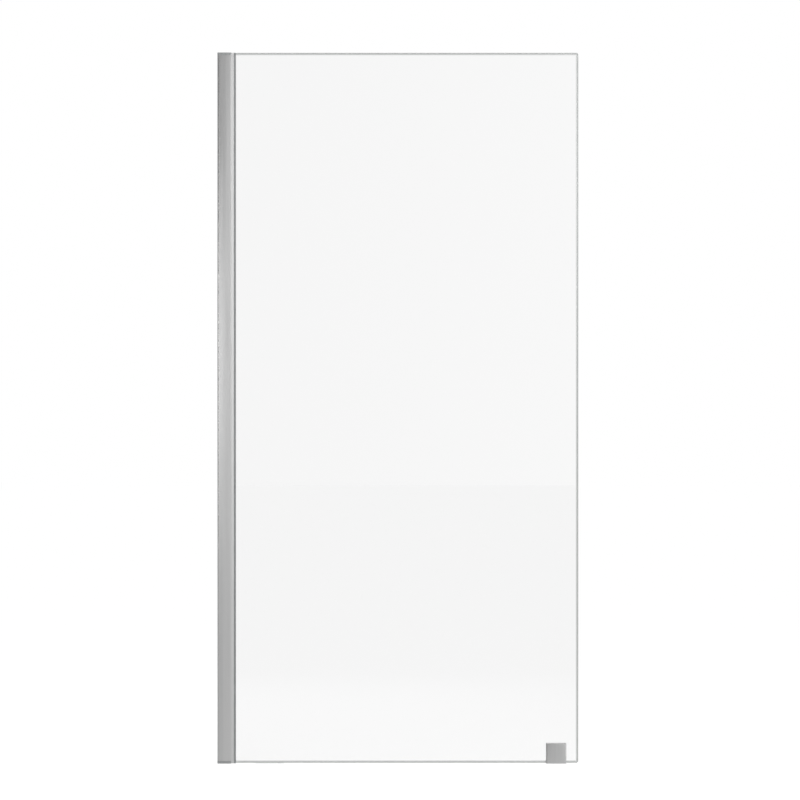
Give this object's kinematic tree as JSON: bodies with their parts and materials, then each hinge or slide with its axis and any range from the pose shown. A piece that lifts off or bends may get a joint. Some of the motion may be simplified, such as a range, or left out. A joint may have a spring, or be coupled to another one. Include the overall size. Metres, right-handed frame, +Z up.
{
  "type": "fixed shower glass panel",
  "caption": "Fixed shower panel: clear glass pane in an adjustable aluminium wall profile, with a square floor clamp near its free lower corner.",
  "frame": {"origin": "on the wall plane, at floor level, in the middle of the pane's thickness", "axes": "+X from the wall to the free edge, +Y to the shower side (-Y faces the viewer outside), +Z up"},
  "size_m": [1, 0.0591, 1.97],
  "materials": {
    "satin_aluminium": "satin anodised, brushed along its length",
    "bright_aluminium": "satin anodised, brushed along its length",
    "clamp_metal": "satin anodised",
    "cap_plastic": "moulded, silver grey",
    "snap_cap_plastic": "moulded, silver grey",
    "black_nylon": "moulded",
    "insert_brass": "turned",
    "screw_steel": "stainless, bright",
    "gasket_rubber": "extruded, grey",
    "clear_vinyl": "extruded, milky clear",
    "clear_glass": "clear toughened, ground edges"
  },
  "bodies": {
    "wall_frame": {"wall_profile": "satin_aluminium", "top_cap": "cap_plastic", "bottom_cap": "cap_plastic", "adjuster_blocks": "black_nylon", "adjuster_inserts": "insert_brass", "adjuster_screws": "screw_steel", "adjuster_washers": "black_nylon", "adjuster_caps": "snap_cap_plastic"},
    "panel": {"glass_profile": "bright_aluminium", "front_gasket": "gasket_rubber", "rear_gasket": "gasket_rubber", "glass_pane": "clear_glass", "glass_edge_pads": "gasket_rubber", "glass_setting_block": "clear_vinyl", "clamp_front_plate": "clamp_metal", "clamp_rear_bracket": "clamp_metal", "clamp_liner": "gasket_rubber", "clamp_bushes": "black_nylon", "clamp_screws": "screw_steel"}
  },
  "joints": [
    {"name": "width_adjustment", "type": "slide", "parent": "wall_frame", "child": "panel", "axis": [1, 0, 0], "range_m": [-0.005, 0.01]}
  ]
}
